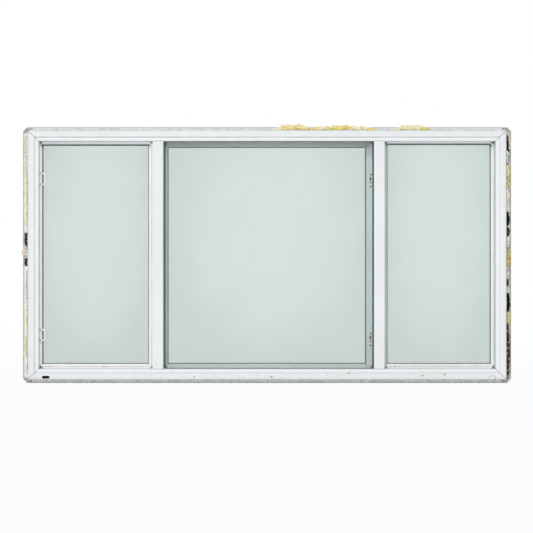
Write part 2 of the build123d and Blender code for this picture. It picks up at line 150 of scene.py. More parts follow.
class Finish:
    """A material and short calls that add nodes to it."""

    def __init__(self, name):
        self.material = bpy.data.materials.new(name)
        self.material.use_nodes = True
        self.tree = self.material.node_tree
        self.shader = self.tree.nodes["Principled BSDF"]
        self.place = self.node("ShaderNodeTexCoord").outputs["Object"]
        parts = self.node("ShaderNodeSeparateXYZ", Vector=self.place).outputs
        self.x, self.y, self.z = parts["X"], parts["Y"], parts["Z"]

    def feed(self, socket, value):
        """Links a socket to another, or sets its value."""
        if isinstance(value, bpy.types.NodeSocket):
            self.tree.links.new(value, socket)
        else:
            socket.default_value = value

    def node(self, kind, settings=None, **inputs):
        """Adds a node. An underscore in an input's name stands for a space."""
        made = self.tree.nodes.new(kind)
        for key, value in (settings or {}).items():
            setattr(made, key, value)
        for key, value in inputs.items():
            self.feed(made.inputs[key.replace("_", " ")], value)
        return made

    def set(self, **inputs):
        """Sets inputs of the main shader."""
        for key, value in inputs.items():
            self.feed(self.shader.inputs[key.replace("_", " ")], value)

    def paint(self, share, colour):
        """Lays a colour over the present base colour as far as a mask says."""
        present = self.shader.inputs["Base Color"].links[0].from_socket
        self.set(Base_Color=self.mix(share, present, colour))

    def math(self, operation, first, second=0.0):
        made = self.node("ShaderNodeMath", {"operation": operation})
        self.feed(made.inputs[0], first)
        self.feed(made.inputs[1], second)
        return made.outputs[0]

    def times(self, first, second):
        return self.math("MULTIPLY", first, second)

    def less(self, first, second):
        return self.math("SUBTRACT", first, second)

    def ramp(self, value, low, high, to_low=0.0, to_high=1.0):
        """A smooth step of a value from one end of a range to the other."""
        made = self.node("ShaderNodeMapRange", {"interpolation_type": "SMOOTHSTEP"}, Value=value)
        made.inputs["From Min"].default_value = low
        made.inputs["From Max"].default_value = high
        made.inputs["To Min"].default_value = to_low
        made.inputs["To Max"].default_value = to_high
        return made.outputs["Result"]

    def noise(self, scale, detail=3.0, rough=0.6):
        made = self.node("ShaderNodeTexNoise", Vector=self.place, Scale=scale, Detail=detail, Roughness=rough)
        return made.outputs["Fac"]

    def mix(self, share, first, second):
        made = self.node("ShaderNodeMix", {"data_type": "RGBA"})
        self.feed(made.inputs[0], share)
        self.feed(made.inputs[6], first)
        self.feed(made.inputs[7], second)
        return made.outputs[2]

    def line(self, value, at, half, soft):
        """1 where a value is within half of its place, and 0 beyond the soft edge."""
        away = self.math("ABSOLUTE", self.less(value, at))
        return self.ramp(away, half, half + soft, 1.0, 0.0)

    def specks(self, cell, size, share, stretch=1.0):
        """Sparse specks, round or stretched along X, one in some cells of a grid of points."""
        spread = self.node("ShaderNodeMapping", Vector=self.place)
        spread.inputs["Scale"].default_value = (1.0 / stretch, 1.0, 1.0)
        made = self.node("ShaderNodeTexVoronoi", Vector=spread.outputs["Vector"], Scale=1.0 / cell)
        spot = self.ramp(made.outputs["Distance"], size * 0.5, size, 1.0, 0.0)
        pick = self.node("ShaderNodeSeparateColor", Color=made.outputs["Color"]).outputs[0]
        return self.times(spot, self.ramp(pick, share, share + 0.02, 1.0, 0.0))

    def inside(self, box):
        """Distances in from the nearest upright and level edge of a rectangle in X and Z."""
        left, right, low, high = box
        across = self.math("MINIMUM", self.less(self.x, left), self.less(right, self.x))
        up = self.math("MINIMUM", self.less(self.z, low), self.less(high, self.z))
        return across, up

    def oblong(self, middle, half):
        """1 inside an upright or level slot with round ends, in X and Z."""
        across = self.math("ABSOLUTE", self.less(self.x, middle[0]))
        up = self.math("ABSOLUTE", self.less(self.z, middle[1]))
        radius = min(half)
        past = self.math("MAXIMUM", self.less(across, half[0] - radius), 0.0)
        over = self.math("MAXIMUM", self.less(up, half[1] - radius), 0.0)
        away = self.math("ADD", self.times(past, past), self.times(over, over))
        return self.ramp(self.math("SQRT", away), radius - 0.0004, radius + 0.0003, 1.0, 0.0)

    def bump(self, height, strength, distance):
        made = self.node("ShaderNodeBump", Height=height)
        made.inputs["Strength"].default_value = strength
        made.inputs["Distance"].default_value = distance
        self.set(Normal=made.outputs["Normal"])


def white_plastic(name, base, box, rings=(), mitre=0.5, specks=0.1, stain=0.5, low_dirt=0.3):
    """Weathered white plastic with dark lines at depths from a box's edge, mitre lines, specks and stains.

    A ring is its depth, half its width and its darkness. The call gives the finish and the distance in from
    the box's nearest edge.
    """
    finish = Finish(name)
    cloud = finish.ramp(finish.noise(2.4, 5.0), 0.35, 0.7)
    streak = finish.ramp(finish.noise(38.0, 4.0, 0.7), 0.45, 0.72)
    colour = finish.mix(finish.times(cloud, 0.10 * stain), base, DIRT_AND_SHADE)
    colour = finish.mix(finish.times(streak, 0.06 * stain), colour, BROWN)
    across, up = finish.inside(box)
    edge = finish.math("MINIMUM", across, up)
    front = finish.ramp(finish.y, 0.0, 0.012, 1.0, 0.3)
    patchy = finish.ramp(finish.noise(26.0, 3.0), 0.3, 0.6, 0.55, 1.0)
    # A ring is dirt in a sash's groove; on the frame the rings are painted shade along the step and the
    # face's edges.
    for at, half, dark in rings:
        mask = finish.times(finish.line(edge, at, half, 0.0011), dark)
        mask = finish.times(mask, patchy)
        colour = finish.mix(mask, colour, GROOVE_DIRT_AND_SHADE)
    cut = finish.line(finish.less(across, up), 0.0, 0.0005, 0.0010)
    cut = finish.times(finish.times(cut, mitre), patchy)
    colour = finish.mix(cut, colour, DIRT_AND_SHADE)
    low = finish.ramp(finish.z, 0.0, 0.14, low_dirt, 0.0)
    dots = finish.times(finish.specks(0.024, 0.075, specks), front)
    colour = finish.mix(finish.times(dots, 0.75), colour, BROWN)
    dashes = finish.times(finish.specks(0.011, 0.13, 0.4, 2.2), low)
    colour = finish.mix(dashes, colour, RUST)
    drops = finish.times(finish.specks(0.034, 0.13, 0.8, 1.5), low)
    colour = finish.mix(drops, colour, RUST)
    finish.set(Base_Color=colour)
    finish.set(Roughness=finish.ramp(finish.noise(14.0, 4.0), 0.3, 0.7, 0.3, 0.44), Specular_IOR_Level=0.42)
    finish.bump(finish.noise(420.0, 2.0), 0.18, 0.0004)
    return finish, edge


def frame_finish(name, groove, grime, floor_dirt_and_shade, low_dirt=0.3):
    """A frame member: white plastic with painted shade along its step and its face's edges, and a grimy
    flange.
    """
    # Painted shade: a line along the step, darkest where the step faces away from the light, a painted shadow
    # line at the face's outer edge and a fainter one at its inner edge.
    rings = ((STEP_IN, 0.0014, groove), (0.0006, 0.0006, 0.8), (FACE_WIDTH - 0.0006, 0.0004, 0.2))
    finish, edge = white_plastic(name, WHITE, FACE, rings, mitre=0.85, specks=0.14, low_dirt=low_dirt)
    # A paler band inside the step.
    finish.paint(finish.ramp(edge, STEP_IN + 0.001, STEP_IN + 0.003, 0.0, 0.6), PALE_WHITE)
    across, up = finish.inside(FACE)
    cut = finish.line(finish.less(across, up), 0.0, 0.0007, 0.0010)
    on_face = finish.ramp(edge, FACE_WIDTH + 0.0005, FACE_WIDTH + 0.0015, 0.8, 0.0)
    finish.paint(finish.times(cut, on_face), DIRT_AND_SHADE)
    coarse = finish.ramp(finish.noise(95.0, 5.0, 0.75), 0.42, 0.62)
    grit = finish.ramp(finish.noise(260.0, 4.0, 0.8), 0.5, 0.62)
    rim = finish.mix(coarse, srgb(226, 228, 224), floor_dirt_and_shade)
    rim = finish.mix(finish.times(grit, grime), rim, BROWN)
    rim = finish.mix(finish.ramp(finish.y, -0.002, -0.0005, 0.0, 0.75), rim, WHITE)
    finish.paint(finish.ramp(edge, -0.0012, 0.0004, 0.9, 0.0), rim)
    return finish


def sill_finish():
    """The sill, with the shade inside its drain slots painted black."""
    # The sill's darker pocket floor is partly dirt and partly painted shade under the face.
    finish = frame_finish("sill_plastic", 0.22, 0.7, srgb(150, 150, 144), 0.75)
    behind_face = finish.ramp(finish.y, FACE_Y + 0.0002, FACE_Y + 0.001)
    for drain in (LEFT_DRAIN, RIGHT_DRAIN):
        hole = finish.oblong(drain, (DRAIN_HALF[0] + 0.0006, DRAIN_HALF[1] + 0.0008))
        finish.paint(finish.times(hole, behind_face), SHADE_BLACK)
    return finish


def mullion_finish(name):
    """A mullion, with dark joint lines at its ends, painted as the soft shadow where it butts on the head and
    sill.
    """
    finish = white_plastic(name, WHITE, OPENING, mitre=0.0)[0]
    # Painted shadow lines where the mullion meets the head and the sill.
    for level in OPENING[2:]:
        finish.paint(finish.times(finish.line(finish.z, level, 0.0008, 0.0012), 0.5), DIRT_AND_SHADE)
    return finish


def corner_dirt(finish, seen):
    """Dirt in the corners of the stretch of a sash that shows."""
    across, up = finish.inside(seen)
    reach = finish.math("ADD", finish.math("ABSOLUTE", across), finish.math("ABSOLUTE", up))
    torn = finish.ramp(finish.noise(160.0, 4.0, 0.7), 0.3, 0.7, -0.005, 0.005)
    return finish.ramp(finish.math("ADD", reach, torn), 0.008, 0.018, 0.9, 0.0)


def sash_finish(name, box, base, specks, seen, shade=(0.6, SASH_SHADE_IN), lip=0.0, lines=(), groove=0.4):
    """Sash members: dirt in the groove and corners, a shaded top rail, a painted highlight on the lip and
    painted shade lines up the gaps.

    The shade is its darkness and the depth where it starts. A line is its X, half its width and the darkness
    of its painted shade.
    """
    rings = ((SASH_GROOVE_IN, 0.0008, groove), (SASH_BEAD_IN, 0.0003, 0.12))
    finish, edge = white_plastic(name, base, box, rings, mitre=0.7, specks=specks, stain=0.7, low_dirt=0.9)
    shade_dark, shade_in = shade
    under = finish.ramp(edge, shade_in, shade_in + 0.004)
    high = finish.ramp(finish.z, SHADE_LEVEL, SHADE_LEVEL + 0.004, 0.0, shade_dark)
    finish.paint(finish.times(under, high), srgb(136, 140, 137))
    # A painted highlight along the lip.
    finish.paint(finish.times(finish.line(edge, INNER_BEAD_IN, 0.0012, 0.0006), lip), PALE_WHITE)
    # Painted shade lines in the gaps beside the stiles.
    for at, half, dark in lines:
        finish.paint(finish.times(finish.line(finish.x, at, half, 0.0006), dark), GAP_SHADE)
    finish.paint(corner_dirt(finish, seen), srgb(84, 74, 54))
    return finish


def gasket_finish(name, dark, dusty):
    """Matt rubber with patches of dust."""
    finish = Finish(name)
    dust = finish.ramp(finish.noise(60.0, 4.0), 0.4, 0.75)
    finish.set(Base_Color=finish.mix(dust, dark, dusty))
    finish.set(Roughness=finish.ramp(dust, 0.0, 1.0, 0.6, 0.85))
    finish.bump(finish.noise(700.0, 2.0), 0.3, 0.0003)
    return finish


def centre_gasket_finish():
    """The seal of the middle glass, paler with dust, with painted shade up its right side."""
    finish = gasket_finish("centre_gasket_rubber", srgb(108, 116, 112), srgb(138, 145, 141))
    edge = CENTRE_HOLE[1]
    finish.paint(finish.ramp(finish.x, edge - 0.0067, edge - 0.0042), srgb(44, 50, 48))
    return finish


def spacer_finish():
    finish = Finish("spacer_metal")
    finish.set(Base_Color=finish.mix(finish.noise(30.0, 3.0), srgb(176, 180, 180), srgb(204, 206, 206)))
    finish.set(Roughness=finish.ramp(finish.noise(90.0, 2.0), 0.3, 0.7, 0.35, 0.5), Metallic=0.85)
    return finish


def nylon_finish():
    finish = Finish("nylon")
    finish.set(Base_Color=finish.mix(finish.noise(80.0, 3.0), srgb(150, 152, 150), srgb(190, 190, 186)))
    finish.set(Roughness=finish.ramp(finish.noise(200.0, 2.0), 0.3, 0.7, 0.45, 0.6))
    return finish


def moulded_finish(name, base, specks=0.1):
    """A small moulding with a few brown dots and slight grime."""
    finish = Finish(name)
    grime = finish.times(finish.ramp(finish.noise(85.0, 5.0, 0.7), 0.45, 0.75), 0.16)
    colour = finish.mix(grime, base, BROWN)
    colour = finish.mix(finish.specks(0.009, 0.14, specks), colour, BROWN)
    finish.set(Base_Color=colour)
    finish.set(Roughness=finish.ramp(finish.noise(60.0, 3.0), 0.3, 0.7, 0.3, 0.42))
    finish.bump(finish.noise(500.0, 2.0), 0.15, 0.0003)
    return finish


def cover_finish():
    """The drain cover, with a brown line of dirt along its top edge."""
    finish = moulded_finish("cover_plastic", PALE_WHITE, 0.1)
    finish.paint(finish.ramp(finish.z, 0.0145, 0.0165, 0.0, 0.75), srgb(142, 126, 98))
    return finish


def ring_finish():
    """The ring round the open drain slot, with the shade in its mouth painted black."""
    finish = moulded_finish("ring_plastic", srgb(250, 251, 252), 0.04)
    finish.paint(finish.oblong(LEFT_DRAIN, DRAIN_MOUTH_HALF), SHADE_BLACK)
    finish.set(Specular_IOR_Level=0.1)
    return finish


def middle_of(name):
    """The middle of a node's box in X and Z."""
    low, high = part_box(name)
    return (low[0] + high[0]) / 2, (low[2] + high[2]) / 2


def shade_behind_catches(finish):
    """The stile, with black shade painted where the slots of the catch plates show it."""
    for name in CATCHES:
        x, z = middle_of(name)
        finish.paint(finish.oblong((x, z + CATCH_SLOT_RISE), (0.0034, 0.009)), SHADE_BLACK)


def catch_finish():
    """The catch plates: near white, with dark marks round the slot, the nose and the screws; the black ones
    are painted shade.
    """
    finish = moulded_finish("catch_paint", srgb(252, 253, 252), 0.2)
    marks = (
        (0.0, CATCH_SLOT_RISE, 0.0031, 0.0085, SHADE_BLACK),
        (0.003, 0.0225, 0.0028, 0.0034, SHADE_BLACK),
        (0.0, -0.0105, 0.0058, 0.0019, SHADE_BLACK),
        (0.0, -0.0275, 0.0062, 0.0019, BROWN),
    )
    for name in CATCHES:
        x, z = middle_of(name)
        for right, rise, half_x, half_z, colour in marks:
            mark = finish.oblong((x + right, z + rise), (half_x, half_z))
            finish.paint(finish.times(mark, 0.9), colour)
    return finish


def glass_finish(name, box, tint, reflection_tint):
    """One sheet of float glass: tinted by position, with a painted reflection that makes it a little lighter
    above its middle, and a thin gloss.
    """
    finish = Finish(name)
    left, right, low, high = box
    across = finish.math("DIVIDE", finish.less(finish.x, (left + right) / 2), (right - left) / 2)
    up = finish.math("DIVIDE", finish.less(finish.z, low + (high - low) * 0.62), (high - low) * 0.6)
    away = finish.math("ADD", finish.times(across, across), finish.times(up, up))
    smear = finish.ramp(finish.noise(5.0, 4.0, 0.7), 0.3, 0.7, -0.12, 0.12)
    share = finish.ramp(finish.math("ADD", away, smear), 0.05, 1.15)
    # Painted reflection: lighter towards the upper middle of the sheet.
    toned = finish.mix(share, reflection_tint, tint)
    ray = finish.node("ShaderNodeLightPath").outputs
    light = finish.math("MAXIMUM", ray["Is Shadow Ray"], ray["Is Diffuse Ray"])
    toned = finish.mix(light, toned, NEARLY_CLEAR)
    clear = finish.node("ShaderNodeBsdfTransparent", Color=toned)
    gloss = finish.shader
    finish.set(Base_Color=srgb(214, 226, 221), Roughness=0.06)
    grazing = finish.node("ShaderNodeLayerWeight", Blend=0.5).outputs["Facing"]
    sheen = finish.math("ADD", finish.times(finish.math("POWER", grazing, 4.0), 0.85), 0.02)
    factor = finish.times(sheen, finish.less(1.0, light))
    both = finish.node("ShaderNodeMixShader")
    finish.feed(both.inputs[0], factor)
    finish.feed(both.inputs[1], clear.outputs[0])
    finish.feed(both.inputs[2], gloss.outputs[0])
    finish.feed(finish.tree.nodes["Material Output"].inputs["Surface"], both.outputs[0])
    return finish


def foam_finish(name, light, middle, dark, patch=70.0, bits=0.52, pore_share=0.4):
    """Torn foam: lumps of two tones with dark pores and dusty bits. The tones are in 0 to 255 steps."""
    light, middle, dark = srgb(*light), srgb(*middle), srgb(*dark)
    finish = Finish(name)
    lump = finish.ramp(finish.noise(patch, 5.0, 0.7), 0.4, 0.6)
    colour = finish.mix(lump, light, middle)
    shade = finish.ramp(finish.noise(150.0, 4.0, 0.75), bits, bits + 0.12)
    colour = finish.mix(shade, colour, dark)
    pores = finish.specks(0.006, 0.3, pore_share)
    colour = finish.mix(finish.times(pores, 0.7), colour, dark)
    finish.set(Base_Color=colour, Roughness=finish.ramp(lump, 0.0, 1.0, 0.85, 0.97), Specular_IOR_Level=0.2)
    finish.bump(finish.noise(380.0, 4.0, 0.7), 0.6, 0.0015)
    return finish


def screw_finish(name, base):
    finish = Finish(name)
    rust = finish.ramp(finish.noise(300.0, 4.0, 0.7), 0.45, 0.65)
    finish.set(Base_Color=finish.mix(rust, base, srgb(92, 66, 44)))
    finish.set(Roughness=finish.ramp(rust, 0.0, 1.0, 0.4, 0.8), Metallic=0.6)
    return finish


def wear(name, finish):
    """Gives a CAD node its finish."""
    thing = NODES[name]
    thing.data.materials.clear()
    thing.data.materials.append(finish.material)


def finish_frame():
    # The second number is the darkness of the painted shade along the step: dark on the head and left jamb,
    # faint on the sill and right jamb.
    wear("head", frame_finish("head_plastic", 0.5, 0.3, srgb(208, 208, 203)))
    wear("left_jamb", frame_finish("left_jamb_plastic", 0.35, 0.4, srgb(196, 196, 190)))
    wear("right_jamb", frame_finish("right_jamb_plastic", 0.1, 0.5, srgb(212, 210, 202)))
    wear("sill", sill_finish())
    wear("left_mullion", mullion_finish("left_mullion_plastic"))
    wear("right_mullion", mullion_finish("right_mullion_plastic"))


def finish_sashes():
    """The sashes and the beads of the middle glass, each with the stretch of it that shows."""
    between = OPENING[2:]
    left = sash_finish(
        "left_sash_plastic", LEFT_SASH, PALE_WHITE, 0.22, (OPENING[0], LEFT_MULLION[0], *between),
        shade=(0.85, SASH_SHADE_IN), lines=((-0.9388, 0.0010, 0.3),),
    )
    right = sash_finish(
        "right_sash_plastic", RIGHT_SASH, WHITE, 0.12, (RIGHT_MULLION[1], OPENING[1], *between),
        shade=(0.85, SASH_SHADE_IN), lines=((0.4955, 0.0009, 0.7), (0.5008, 0.0009, 0.7)),
    )
    # Painted shade lines on the inner sash: broad ones where the mullions shadow it, thin ones at its bead.
    inner_shade_lines = (
        (-0.4305, 0.0032, 0.75),
        (-0.4215, 0.0006, 0.36),
        (0.4178, 0.0006, 0.55),
        (0.4462, 0.0034, 0.9),
    )
    # Its whiter base is painted light: it lifts the stile seen behind the middle glass.
    inner = sash_finish(
        "inner_sash_plastic", INNER_SASH, srgb(251, 253, 253), 0.1, CENTRE_HOLE,
        shade=(0.5, INNER_SHADE_IN), lip=0.9, lines=inner_shade_lines, groove=0.08,
    )
    shade_behind_catches(inner)
    for name, finish in (("left_sash", left), ("right_sash", right), ("inner_sash", inner)):
        for piece in ("top_rail", "bottom_rail", "left_stile", "right_stile"):
            wear(name + "_" + piece, finish)
    bead = sash_finish("bead_plastic", CENTRE_HOLE, WHITE, 0.05, CENTRE_HOLE)
    for side in ("top", "bottom", "left", "right"):
        wear("centre_bead_" + side, bead)


def finish_fittings():
    wear("centre_gasket", centre_gasket_finish())
    rubber = gasket_finish("gasket_rubber", srgb(38, 44, 42), srgb(78, 84, 80))
    for name in ("left_sash_gasket", "right_sash_gasket", "inner_sash_gasket"):
        wear(name, rubber)
    metal = spacer_finish()
    for name in ("centre_spacer", "left_sash_spacer", "right_sash_spacer"):
        wear(name, metal)
    nylon = nylon_finish()
    for name in ("left_sash_rollers", "inner_sash_rollers", "setting_blocks"):
        wear(name, nylon)
    catch = catch_finish()
    for name in CATCHES:
        wear(name, catch)
    wear("weep_cover", cover_finish())
    wear("drain_ring", ring_finish())


def finish_glass():
    """Sealed glass in the outer sashes, and paler single sheets in the middle."""
    # Each pair is the tint and the lighter tone of the painted reflection.
    sealed = ((0.878, 0.904, 0.896, 1.0), (0.905, 0.931, 0.923, 1.0))
    single = ((0.894, 0.918, 0.911, 1.0), (0.92, 0.944, 0.936, 1.0))
    for name, box, tones in (
        ("left_sash_glass", LEFT_SASH, sealed),
        ("right_sash_glass", RIGHT_SASH, sealed),
        ("centre_glass", CENTRE_HOLE, single),
    ):
        wear(name, glass_finish(name + "_sheet", box, *tones))
    wear("inner_sash_glass", glass_finish("inner_sheet", INNER_SASH, NEARLY_CLEAR, (0.99, 0.994, 0.992, 1.0)))


def add_piece(name, mesh, finish, replaced=()):
    """Adds a mesh as a piece of the window."""
    mesh.materials.append(finish.material)
    piece = bpy.data.objects.new(name, mesh)
    bpy.context.scene.collection.objects.link(piece)
    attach(piece, "root")
    if replaced:
        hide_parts(*replaced)
    return piece


def mesh_from(name, shape):
    """A smooth mesh with its faces turned outwards."""
    bmesh.ops.recalc_face_normals(shape, faces=shape.faces)
    mesh = bpy.data.meshes.new(name)
    shape.to_mesh(mesh)
    shape.free()
    for face in mesh.polygons:
        face.use_smooth = True
    return mesh


def remeshed(name, blobs, voxel):
    """Joins overlapping lumps into one closed skin."""
    rough = bpy.data.meshes.new(name + "_rough")
    rough.from_pydata(blobs[0], [], blobs[1])
    holder = bpy.data.objects.new(name + "_rough", rough)
    bpy.context.scene.collection.objects.link(holder)
    skin = holder.modifiers.new("skin", "REMESH")
    skin.mode = "VOXEL"
    skin.voxel_size = voxel
    graph = bpy.context.evaluated_depsgraph_get()
    mesh = bpy.data.meshes.new_from_object(holder.evaluated_get(graph))
    bpy.data.objects.remove(holder)
    return mesh


def roughen(mesh, amount, scale, limits, seed):
    """Moves the skin in and out by noise at two scales, and keeps it between two corners."""
    shift = Vector((seed * 3.1, seed * 1.7, seed * 2.3))
    low, high = limits
    normals = [vertex.normal.copy() for vertex in mesh.vertices]
    for vertex, normal in zip(mesh.vertices, normals):
        place = vertex.co * scale + shift
        push = noise.noise(place) + 0.6 * noise.noise(place * 2.7) - 0.2
        moved = vertex.co + normal * push * amount
        vertex.co = [min(max(moved[i], low[i]), high[i]) for i in range(3)]
    for face in mesh.polygons:
        face.use_smooth = True
    mesh.update()


def unit_ball():
    """The corners and faces of a ball of radius 1."""
    shape = bmesh.new()
    bmesh.ops.create_icosphere(shape, subdivisions=2, radius=1.0)
    corners = [vertex.co.copy() for vertex in shape.verts]
    faces = [[vertex.index for vertex in face.verts] for face in shape.faces]
    shape.free()
    return corners, faces


BALL = unit_ball()


def add_blob(blobs, place, radii, turn):
    """Adds a stretched and turned ball to a list of corners and faces."""
    matrix = Matrix.Translation(place) @ turn.to_matrix().to_4x4() @ Matrix.Diagonal((*radii, 1.0))
    corners, faces = blobs
    start = len(corners)
    corners.extend(matrix @ corner for corner in BALL[0])
    faces.extend([start + index for index in face] for face in BALL[1])


def random_turn(dice):
    turn = Vector((dice.uniform(-1, 1), dice.uniform(-1, 1), dice.uniform(-1, 1)))
    return turn.to_track_quat("Z", "Y")


def lumps(name, spans, to_place, limits, finish, voxel, size, seed, replaced=()):
    """Crumbly foam: blobs along spans of (start, end, inner, outer), then one roughened skin."""
    dice = random.Random(seed)
    blobs = ([], [])
    small, large = size
    for start, end, inner, outer in spans:
        count = max(6, int((end - start) * (outer - inner) / (small * small) * 1.1))
        for k in range(count):
            share = (k + dice.random()) / count
            swell = math.sin(math.pi * (0.1 + 0.8 * share)) ** 0.5
            jag = 0.76 + 0.3 * noise.noise(Vector((share * (end - start) * 90, seed * 5.3, 0)))
            top = inner + (outer - inner) * swell * jag
            radius = dice.uniform(small, large)
            out = inner + max(0.0, top - inner - radius) * dice.random() ** 0.45
            depth = dice.random()
            radii = [radius * dice.uniform(0.7, 1.2) for axis in range(3)]
            add_blob(blobs, to_place(start + (end - start) * share, out, depth), radii, random_turn(dice))
    mesh = remeshed(name, blobs, voxel)
    roughen(mesh, small * 0.45, 190.0, limits, seed)
    return add_piece(name, mesh, finish, replaced)


def filler_finish(name, light, dark, dirt, grime):
    """Dusty plaster left in the pocket of the flange, with dashes of dirt."""
    finish = Finish(name)
    cloud = finish.ramp(finish.noise(46.0, 5.0, 0.7), 0.4, 0.64)
    colour = finish.mix(cloud, light, dark)
    grit = finish.ramp(finish.noise(210.0, 5.0, 0.8), 0.54, 0.66)
    colour = finish.mix(finish.times(grit, grime), colour, dirt)
    dashes = finish.specks(0.009, 0.2, grime * 0.5, 1.6)
    colour = finish.mix(finish.times(dashes, 0.8), colour, dirt)
    finish.set(Base_Color=colour, Roughness=finish.ramp(cloud, 0.0, 1.0, 0.8, 0.95), Specular_IOR_Level=0.25)
    finish.bump(finish.noise(330.0, 4.0, 0.7), 0.5, 0.0012)
    return finish


def filler_rows(start, end, near, far, front, seed):
    """Rows of places (along, out, y) for a bumpy sheet with a sunk rim."""
    count = max(2, int((end - start) / FILLER_STEP))
    rows = []
    for k in range(count + 1):
        along = start + (end - start) * k / count
        row = []
        for j in range(FILLER_ACROSS + 1):
            out = near + (far - near) * j / FILLER_ACROSS
            bump = noise.noise(Vector((along * 120, out * 150, seed * 3.7)))
            bump += 0.6 * noise.noise(Vector((along * 31, out * 60, seed * 5.1)))
            y = front + FILLER_BUMPS * bump
            if k in (0, count) or j in (0, FILLER_ACROSS):
                y = front + FILLER_RIM_SINK
            row.append((along, out, y))
        rows.append(row)
    return rows


def filler(name, side, spans, near, far, front, finish, seed):
    """Strips of dusty plaster in the pocket: a bumpy front sheet, closed by its sides and back."""
    level = side in ("top", "bottom")
    last = FILLER_ACROSS
    shape = bmesh.new()
    for start, end in spans:
        rows = filler_rows(start, end, near, far, front, seed)
        count = len(rows) - 1
        sheets = []
        for flat in (False, True):
            sheet = []
            for row in rows:
                line = []
                for along, out, y in row:
                    depth = FILLER_BACK if flat else y
                    line.append(shape.verts.new((along, depth, out) if level else (out, depth, along)))
                sheet.append(line)
            sheets.append(sheet)
        for sheet in sheets:
            for k in range(count):
                for j in range(last):
                    shape.faces.new((sheet[k][j], sheet[k + 1][j], sheet[k + 1][j + 1], sheet[k][j + 1]))
        rim = [(k, 0) for k in range(count)] + [(count, j) for j in range(last)]
        rim += [(k, last) for k in range(count, 0, -1)] + [(0, j) for j in range(last, 0, -1)]
        for first, second in zip(rim, rim[1:] + rim[:1]):
            shape.faces.new((sheets[0][first[0]][first[1]], sheets[0][second[0]][second[1]],
                             sheets[1][second[0]][second[1]], sheets[1][first[0]][first[1]]))
    return add_piece(name, mesh_from(name, shape), finish)


def pocket_fillers():
    """What the wall left in the pocket of the flange: pale above and on the left, dirtier elsewhere."""
    light = filler_finish("dust_light", srgb(252, 252, 251), srgb(236, 236, 234), srgb(172, 148, 136), 0.5)
    grey = filler_finish("dust_grey", srgb(252, 253, 253), srgb(230, 234, 235), srgb(104, 88, 70), 0.7)
    # A painted shadow line along the top of the sill's filler, under the face.
    grey.paint(grey.line(grey.z, 0.0006, 0.0018, 0.0012), srgb(92, 92, 88))
    mixed = filler_finish("dust_mixed", srgb(230, 230, 224), srgb(176, 174, 166), srgb(60, 52, 42), 0.9)
    level_spans = ((-0.985, 0.985),)
    left_spans = ((0.005, 0.474), (0.506, 0.557), (0.612, 1.03))
    right_spans = ((0.36, 0.395), (0.418, 0.644), (0.698, 0.8))
    filler("dust_top", "top", level_spans, *HEAD_POCKET, -0.0165, light, 1)
    filler("dust_bottom", "bottom", level_spans, *SILL_POCKET, -0.0175, grey, 2)
    filler("dust_left", "left", left_spans, -POCKET_IN, -POCKET_OUT, -0.0155, light, 3)
    filler("dust_right", "right", right_spans, POCKET_IN, POCKET_OUT, -0.0145, mixed, 4)
    filler("dust_by_face", "right", ((0.004, 0.898),), POCKET_IN, 1.0012, -0.0175, light, 5)


def foam_on_head():
    """Three clumps of yellow foam in the pocket over the head."""
    spans = (
        (0.0379, 0.1755, 1.0403, 1.0765),
        (0.1834, 0.4586, 1.0403, 1.0685),
        (0.5404, 0.672, 1.0403, 1.0715),
    )
    limits = ((0.0, POCKET_FRONT, 1.0402), (0.7, -0.0003, 1.0725))
    light, middle, dark = (254, 252, 226), (246, 226, 124), (96, 88, 44)
    finish = foam_finish("foam_yellow", light, middle, dark, 34.0, 0.58, 0.14)

    def to_place(along, out, depth):
        return Vector((along, -0.021 + 0.018 * depth, out))

    lumps("foam_head_lumps", spans, to_place, limits, finish, 0.0014, (0.0035, 0.0065), 11, ("foam_head",))


def pocket_place(side, front=-0.018, back=-0.005):
    """Places in the pocket beside a jamb, by height, distance from the middle and depth."""
    sign = -1 if side == "left" else 1

    def to_place(along, out, depth):
        return Vector((sign * out, front + (back - front) * depth, along))

    return to_place


def pocket_limits(side, reach=POCKET_OUT):
    """Two corners of the pocket beside a jamb. The lumps stay between them."""
    left, right = (-reach, -POCKET_IN) if side == "left" else (POCKET_IN, reach)
    return (left, POCKET_FRONT, -0.012), (right, -0.0032, 1.052)


